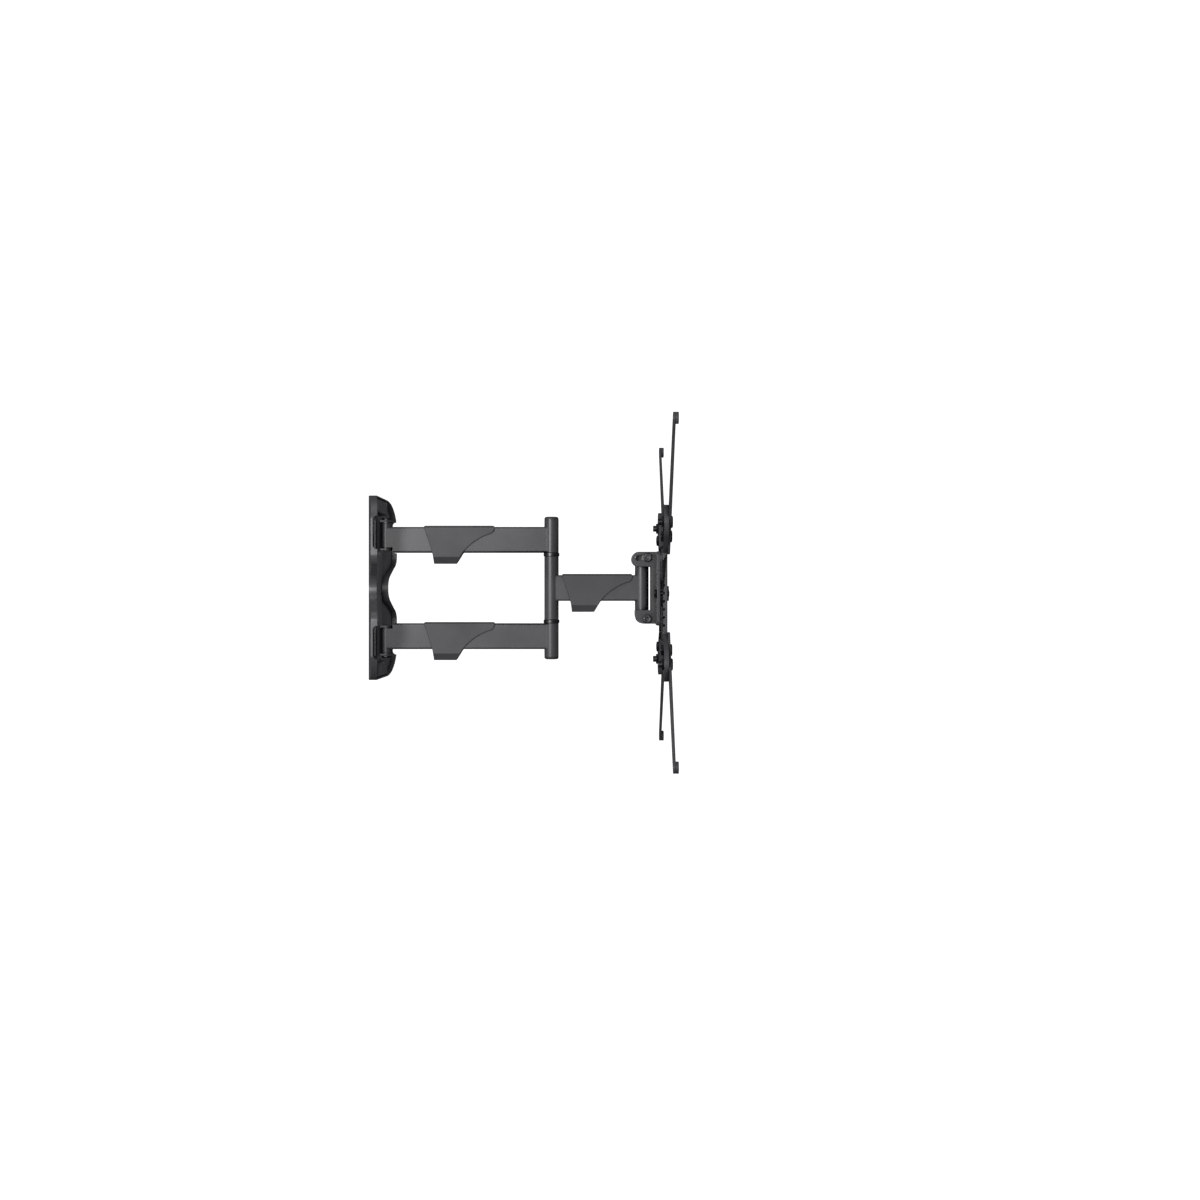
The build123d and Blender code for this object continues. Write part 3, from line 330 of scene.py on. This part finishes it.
def greased_nylon(finish):
    """Black nylon, moulded smooth and wiped with grease.

    It is a little translucent and waxy, with faint rings where it turns against the steel.
    """
    material, output = new_material("Waxy black nylon")
    place = add_node(material, "ShaderNodeTexCoord").outputs["Object"]
    # this texture repeats every 0.31 of its scale, so the rings are about 6 mm apart
    rings = add_node(
        material,
        "ShaderNodeTexWave",
        {"Vector": place, "Scale": per_mm(20), "Distortion": 0.6, "Detail": 2.0},
        wave_type="BANDS",
        bands_direction="Z",
    )
    # smears of grease, about 5 mm across
    smear = add_node(
        material,
        "ShaderNodeTexNoise",
        {"Vector": place, "Scale": per_mm(5), "Detail": 3.0, "Roughness": 0.55},
    )
    tone = ramp(
        material,
        smear.outputs["Fac"],
        [(0.35, linear("#151516")), (0.7, (*finish.nylon_colour, 1.0))],
    )
    shine = add_node(
        material,
        "ShaderNodeMapRange",
        {"Value": smear.outputs["Fac"], "To Min": 0.3, "To Max": 0.46},
    )
    relief = add_node(
        material,
        "ShaderNodeBump",
        {"Height": rings.outputs["Fac"], "Strength": 0.12, "Distance": 0.08 * MM},
    )
    shader = add_node(
        material,
        "ShaderNodeBsdfPrincipled",
        {
            "Base Color": tone.outputs["Color"],
            "Roughness": shine.outputs["Result"],
            "Normal": relief.outputs["Normal"],
            "IOR": 1.53,
        },
    )
    material.node_tree.links.new(shader.outputs["BSDF"], output.inputs["Surface"])
    return material


# ---------------------------------------------------------------- shared shape helpers


def body_with(node):
    """The CAD body that this node belongs to."""
    for body, nodes in frame["record"]["behaviour"]["bodies"].items():
        if node in nodes:
            return body
    raise RuntimeError(f"no body holds {node}")


def finish_mesh(shape, name, material, crease):
    """Turns a bmesh into an object, smooth but for edges folded by crease degrees, and frees the bmesh."""
    for face in shape.faces:
        face.smooth = True
    for edge in shape.edges:
        if len(edge.link_faces) == 2:
            edge.smooth = edge.calc_face_angle(0.0) < math.radians(crease)
    mesh = bpy.data.meshes.new(name)
    shape.to_mesh(mesh)
    shape.free()
    mesh.materials.append(material)
    obj = bpy.data.objects.new(name, mesh)
    bpy.context.scene.collection.objects.link(obj)
    return obj


def on_side(edge, side):
    """Whether this edge lies in the outermost plane on either side of the mount."""
    return all(abs(vert.co.x) > side for vert in edge.verts)


def near_side(edge, side, rounded):
    """Whether this edge touches the rounds, of this width, already made on a side face."""
    return any(abs(vert.co.x) > side - rounded - 0.1 * MM for vert in edge.verts)


def round_edges(shape, crease, width, segments, chosen):
    """Rounds the chosen edges that fold by more than crease degrees."""
    sharp = [
        edge
        for edge in shape.edges
        if len(edge.link_faces) == 2
        and edge.calc_face_angle(0.0) > math.radians(crease)
        and chosen(edge)
    ]
    bmesh.ops.bevel(
        shape,
        geom=sharp,
        offset=width,
        offset_type="OFFSET",
        segments=segments,
        profile=0.5,
        affect="EDGES",
        material=-1,
        clamp_overlap=False,
        miter_outer="ARC",
    )


def keep_inside(shape, node):
    """Brings in any corner that a round has pushed out of the CAD part's own box."""
    low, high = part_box(node)
    for vert in shape.verts:
        vert.co = [min(max(value, least), most) for value, least, most in zip(vert.co, low, high)]


def soften(node, material, width, crease, show_width):
    """Stands a copy with rounded edges in a CAD part's place, on the same body.

    Edges folded by more than crease degrees are rounded by width. Those round the two side faces that
    show most are rounded by show_width instead, unless it is 0.
    """
    shape = bmesh.new()
    shape.from_mesh(frame["nodes"][node].data)
    bmesh.ops.remove_doubles(shape, verts=shape.verts, dist=SAME_POINT)
    bmesh.ops.dissolve_limit(
        shape, angle_limit=math.radians(FLAT_WITHIN), verts=shape.verts, edges=shape.edges
    )
    side = max(abs(vert.co.x) for vert in shape.verts) - 0.02 * MM
    if show_width:
        round_edges(shape, crease, show_width, 3, lambda edge: on_side(edge, side))
    if width:
        round_edges(
            shape,
            crease,
            width,
            2,
            lambda edge: not (show_width and near_side(edge, side, show_width)),
        )
    keep_inside(shape, node)
    obj = finish_mesh(shape, f"{node}_finished", material, crease)
    # the large faces keep their own direction, so only the rounded edges turn the light
    level = obj.modifiers.new("Flat faces stay flat", "WEIGHTED_NORMAL")
    level.mode = "FACE_AREA"
    level.weight = 100
    level.keep_sharp = True
    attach(obj, body_with(node))
    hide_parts(node)


def dress(names, material, width=0.0, crease=CREASE, show_width=0.0):
    """Gives these CAD parts a finish and rounds their edges by the given width."""
    for name in names:
        soften(name, material, width, crease, show_width)


def finish_settings():
    """The colours, roughness and edges set for this scene."""
    return bpy.context.scene.tv_mount_finish


# ---------------------------------------------------------------- settings


class TVMOUNT_PG_finish(PropertyGroup):
    """Colours, roughness and edge rounds of the mount's finishes"""

    steel_colour: FloatVectorProperty(
        name="Steel paint",
        description="Colour of the powder coat where it is thickest",
        subtype="COLOR",
        size=3,
        min=0.0,
        max=1.0,
        default=linear("#434346")[:3],
    )
    steel_roughness: FloatProperty(
        name="Paint roughness",
        description="0 is a mirror and 1 is fully matt",
        subtype="FACTOR",
        min=0.1,
        max=0.9,
        default=0.4,
    )
    steel_edge: FloatProperty(
        name="Steel edge radius",
        description="Round left on the pressed and sawn edges by the coat",
        subtype="DISTANCE",
        unit="LENGTH",
        min=0.0,
        max=0.002,
        default=0.5 * MM,
    )
    plastic_colour: FloatVectorProperty(
        name="Plastic",
        description="Colour of the moulded covers",
        subtype="COLOR",
        size=3,
        min=0.0,
        max=1.0,
        default=linear("#3d3d40")[:3],
    )
    plastic_roughness: FloatProperty(
        name="Plastic roughness",
        description="0 is a mirror and 1 is fully matt",
        subtype="FACTOR",
        min=0.1,
        max=0.9,
        default=0.55,
    )
    plastic_edge: FloatProperty(
        name="Plastic edge radius",
        description="Round on the moulded covers' edges",
        subtype="DISTANCE",
        unit="LENGTH",
        min=0.0,
        max=0.002,
        default=1.1 * MM,
    )
    fastener_colour: FloatVectorProperty(
        name="Fasteners",
        description="Colour of the plated bolts and nuts at their brightest",
        subtype="COLOR",
        size=3,
        min=0.0,
        max=1.0,
        default=linear("#56575a")[:3],
    )
    nylon_colour: FloatVectorProperty(
        name="Nylon",
        description="Colour of the bushes and washers",
        subtype="COLOR",
        size=3,
        min=0.0,
        max=1.0,
        default=linear("#202022")[:3],
    )


class TVMOUNT_PG_stage(PropertyGroup):
    """The floor, the light and the camera"""

    floor_colour: FloatVectorProperty(
        name="Floor",
        description="Colour of the floor and the backdrop",
        subtype="COLOR",
        size=3,
        min=0.0,
        max=1.0,
        default=linear("#f2f2f2")[:3],
    )
    floor_drop: FloatProperty(
        name="Floor depth",
        description="How far the floor lies below the mount's centre",
        subtype="DISTANCE",
        unit="LENGTH",
        min=0.5,
        max=3.0,
        default=1.15,
    )
    floor_radius: FloatProperty(
        name="Floor radius",
        description="Where the floor begins to sweep up into the wall",
        subtype="DISTANCE",
        unit="LENGTH",
        min=2.0,
        max=20.0,
        default=5.0,
    )
    paper_glow: FloatProperty(
        name="Paper glow",
        description="How brightly the paper is lit from behind",
        min=0.0,
        max=5.0,
        default=1.0,
    )
    room_light: FloatProperty(
        name="Room light",
        description="Strength of the even light from all round",
        min=0.0,
        max=5.0,
        default=0.09,
    )
    camera_place: FloatVectorProperty(
        name="Camera",
        description="Where the camera stands, level and square to the mount's side",
        subtype="TRANSLATION",
        unit="LENGTH",
        size=3,
        default=(-1.890, -0.288, -0.0153),
    )
    lens: FloatProperty(
        name="Lens",
        description="Focal length for a 36 mm wide frame",
        min=10.0,
        max=200.0,
        default=44.34,
    )


# ---------------------------------------------------------------- stage


def seamless_paper(stage):
    """White uncoated studio paper, lit evenly from behind.

    It has no shine and no edge, so the eye reads it as open white space.
    """
    paper, output = new_material("Seamless white paper")
    place = add_node(paper, "ShaderNodeTexCoord").outputs["Object"]
    fibre = add_node(paper, "ShaderNodeTexNoise", {"Vector": place, "Scale": per_mm(30)})
    roughness = add_node(
        paper,
        "ShaderNodeMapRange",
        {"Value": fibre.outputs["Fac"], "To Min": 0.8, "To Max": 0.95},
    )
    shader = add_node(
        paper,
        "ShaderNodeBsdfPrincipled",
        {
            "Base Color": (*stage.floor_colour, 1.0),
            "Roughness": roughness.outputs["Result"],
            "Emission Color": (1.0, 1.0, 1.0, 1.0),
            "Emission Strength": stage.paper_glow,
        },
    )
    paper.node_tree.links.new(shader.outputs["BSDF"], output.inputs["Surface"])
    return paper


def lay_floor(scene, stage, paper):
    """Lays a round floor that sweeps up into a wall, spun from half of its section."""
    shape = bmesh.new()
    drop = -stage.floor_drop
    middle_point = shape.verts.new((0.0, 0.0, drop))
    rim_point = shape.verts.new((stage.floor_radius, 0.0, drop))
    shape.edges.new((middle_point, rim_point))
    bmesh.ops.spin(
        shape,
        geom=[rim_point],
        cent=(stage.floor_radius, 0.0, drop + FLOOR_SWEEP),
        axis=(0, -1, 0),
        angle=math.radians(90),
        steps=16,
    )
    highest = max(shape.verts, key=lambda vert: vert.co.z)
    raised = bmesh.ops.extrude_vert_indiv(shape, verts=[highest])["verts"]
    bmesh.ops.translate(shape, verts=raised, vec=(0.0, 0.0, WALL_HEIGHT))
    bmesh.ops.spin(
        shape,
        geom=[*shape.verts, *shape.edges],
        cent=(0.0, 0.0, 0.0),
        axis=(0, 0, 1),
        angle=math.radians(360),
        steps=64,
        use_merge=True,
    )
    bmesh.ops.remove_doubles(shape, verts=shape.verts, dist=0.1 * MM)
    bmesh.ops.recalc_face_normals(shape, faces=shape.faces)
    # the camera and the mount are inside this bowl, so its faces point inwards
    bmesh.ops.reverse_faces(shape, faces=shape.faces)
    mesh = bpy.data.meshes.new("Floor")
    shape.to_mesh(mesh)
    shape.free()
    for face in mesh.polygons:
        face.use_smooth = True
    mesh.materials.append(paper)
    floor = bpy.data.objects.new("Floor", mesh)
    scene.collection.objects.link(floor)
    # black flags stand between the paper and the mount, so no white edge shows in the coat
    floor.visible_glossy = False
    floor.visible_diffuse = False


def hang_lamps(scene, stage):
    """Lights the room evenly and hangs the lamps, all pointing at the mount."""
    world = bpy.data.worlds.new("Soft room")
    world.use_nodes = True
    backdrop = world.node_tree.nodes["Background"]
    backdrop.inputs["Color"].default_value = (1.0, 1.0, 1.0, 1.0)
    backdrop.inputs["Strength"].default_value = stage.room_light
    scene.world = world
    scene.view_settings.view_transform = "Standard"
    for name, spot, size, power, shadows, reflections in LAMPS:
        data = bpy.data.lights.new(name, "AREA")
        data.shape = "DISK"
        data.size = size
        data.energy = power
        data.use_shadow = shadows
        lamp = bpy.data.objects.new(name, data)
        lamp.location = spot
        lamp.visible_glossy = reflections
        lamp.rotation_euler = (LAMP_AIM - Vector(spot)).to_track_quat("-Z", "Y").to_euler()
        scene.collection.objects.link(lamp)


def place_camera(scene, stage):
    """Stands the camera square to the mount's side, looking along X."""
    data = bpy.data.cameras.new("Camera")
    data.sensor_width = 36.0
    data.lens = stage.lens
    data.clip_start = 0.01
    data.clip_end = 60.0
    camera = bpy.data.objects.new("Camera", data)
    camera.location = stage.camera_place
    camera.rotation_euler = (math.radians(90), 0.0, math.radians(-90))
    scene.collection.objects.link(camera)
    scene.camera = camera


# ---------------------------------------------------------------- operators


class TVMOUNT_OT_steel(Operator):
    """Powder coat every pressed, folded and tubular steel part"""

    bl_idname = "tvmount.steel"
    bl_label = "Coat Steel"

    def execute(self, context):
        coat = powder_coat(finish_settings())
        names = [
            "wall_plate", "upper_hinge_bracket", "lower_hinge_bracket", "upper_arm", "lower_arm",
            "forearm", "swivel_yoke", "tilt_bracket", "vesa_plate", "tv_arm_upper_left",
            "tv_arm_upper_right", "tv_arm_lower_left", "tv_arm_lower_right",
        ]
        dress(names, coat, finish_settings().steel_edge)
        return {"FINISHED"}


class TVMOUNT_OT_plastic(Operator):
    """Finish the cable covers, bolt covers, end caps and spacers"""

    bl_idname = "tvmount.plastic"
    bl_label = "Finish Plastic"

    def execute(self, context):
        plastic = moulded_plastic(finish_settings())
        cable_covers = ["upper_cable_cover", "lower_cable_cover", "forearm_cable_cover"]
        dress(cable_covers, plastic, FINE_EDGE, COVER_CREASE, finish_settings().plastic_edge)
        small = ["upper_bolt_cover", "lower_bolt_cover", "elbow_end_caps", "tv_spacers"]
        dress(small, plastic, CAP_EDGE)
        return {"FINISHED"}


class TVMOUNT_OT_fasteners(Operator):
    """Finish the bolts, nuts and pins"""

    bl_idname = "tvmount.fasteners"
    bl_label = "Finish Fasteners"

    def execute(self, context):
        plate = black_zinc(finish_settings())
        names = [
            "wall_hinge_bolts", "elbow_bolt", "elbow_nut", "swivel_pin",
            "tilt_pivot_bolt", "tilt_pivot_nut", "tilt_lock_bolt", "tilt_lock_nut",
            "level_pivot_bolt", "level_pivot_nut", "level_lock_bolts", "level_lock_nuts",
            "tv_arm_bolts", "tv_arm_nuts",
        ]
        dress(names, plate, FINE_EDGE)
        return {"FINISHED"}


class TVMOUNT_OT_nylon(Operator):
    """Finish the bushes and washers"""

    bl_idname = "tvmount.nylon"
    bl_label = "Finish Nylon"

    def execute(self, context):
        nylon = greased_nylon(finish_settings())
        names = [
            "wall_hinge_washers", "wall_hinge_bushes", "elbow_bushes", "head_bushes", "level_washer",
        ]
        dress(names, nylon)
        return {"FINISHED"}


class TVMOUNT_OT_stage(Operator):
    """Lay the floor and backdrop, hang the lights and place the camera"""

    bl_idname = "tvmount.stage"
    bl_label = "Set Stage"

    def execute(self, context):
        scene = context.scene
        stage = scene.tv_mount_stage
        lay_floor(scene, stage, seamless_paper(stage))
        hang_lamps(scene, stage)
        place_camera(scene, stage)
        return {"FINISHED"}


# ---------------------------------------------------------------- panel and registration


class TVMOUNT_PT_panel(Panel):
    """Lists the settings and the operators in the sidebar"""

    bl_idname = "TVMOUNT_PT_panel"
    bl_label = "Television Wall Mount"
    bl_space_type = "VIEW_3D"
    bl_region_type = "UI"
    bl_category = "TV Mount"

    def draw(self, context):
        layout = self.layout
        for group in (context.scene.tv_mount_finish, context.scene.tv_mount_stage):
            for name in group.bl_rna.properties.keys():
                if name not in ("rna_type", "name"):
                    layout.prop(group, name)
        for operator in OPERATORS:
            layout.operator(operator.bl_idname)


OPERATORS = (
    TVMOUNT_OT_steel,
    TVMOUNT_OT_plastic,
    TVMOUNT_OT_fasteners,
    TVMOUNT_OT_nylon,
    TVMOUNT_OT_stage,
)
CLASSES = (TVMOUNT_PG_finish, TVMOUNT_PG_stage, *OPERATORS, TVMOUNT_PT_panel)


def register():
    for item in CLASSES:
        bpy.utils.register_class(item)
    bpy.types.Scene.tv_mount_finish = PointerProperty(type=TVMOUNT_PG_finish)
    bpy.types.Scene.tv_mount_stage = PointerProperty(type=TVMOUNT_PG_stage)


def unregister():
    del bpy.types.Scene.tv_mount_stage
    del bpy.types.Scene.tv_mount_finish
    for item in reversed(CLASSES):
        bpy.utils.unregister_class(item)


def main():
    """Builds everything in order."""
    register()
    bpy.ops.tvmount.steel()
    bpy.ops.tvmount.plastic()
    bpy.ops.tvmount.fasteners()
    bpy.ops.tvmount.nylon()
    bpy.ops.tvmount.stage()


if __name__ == "__main__":
    main()
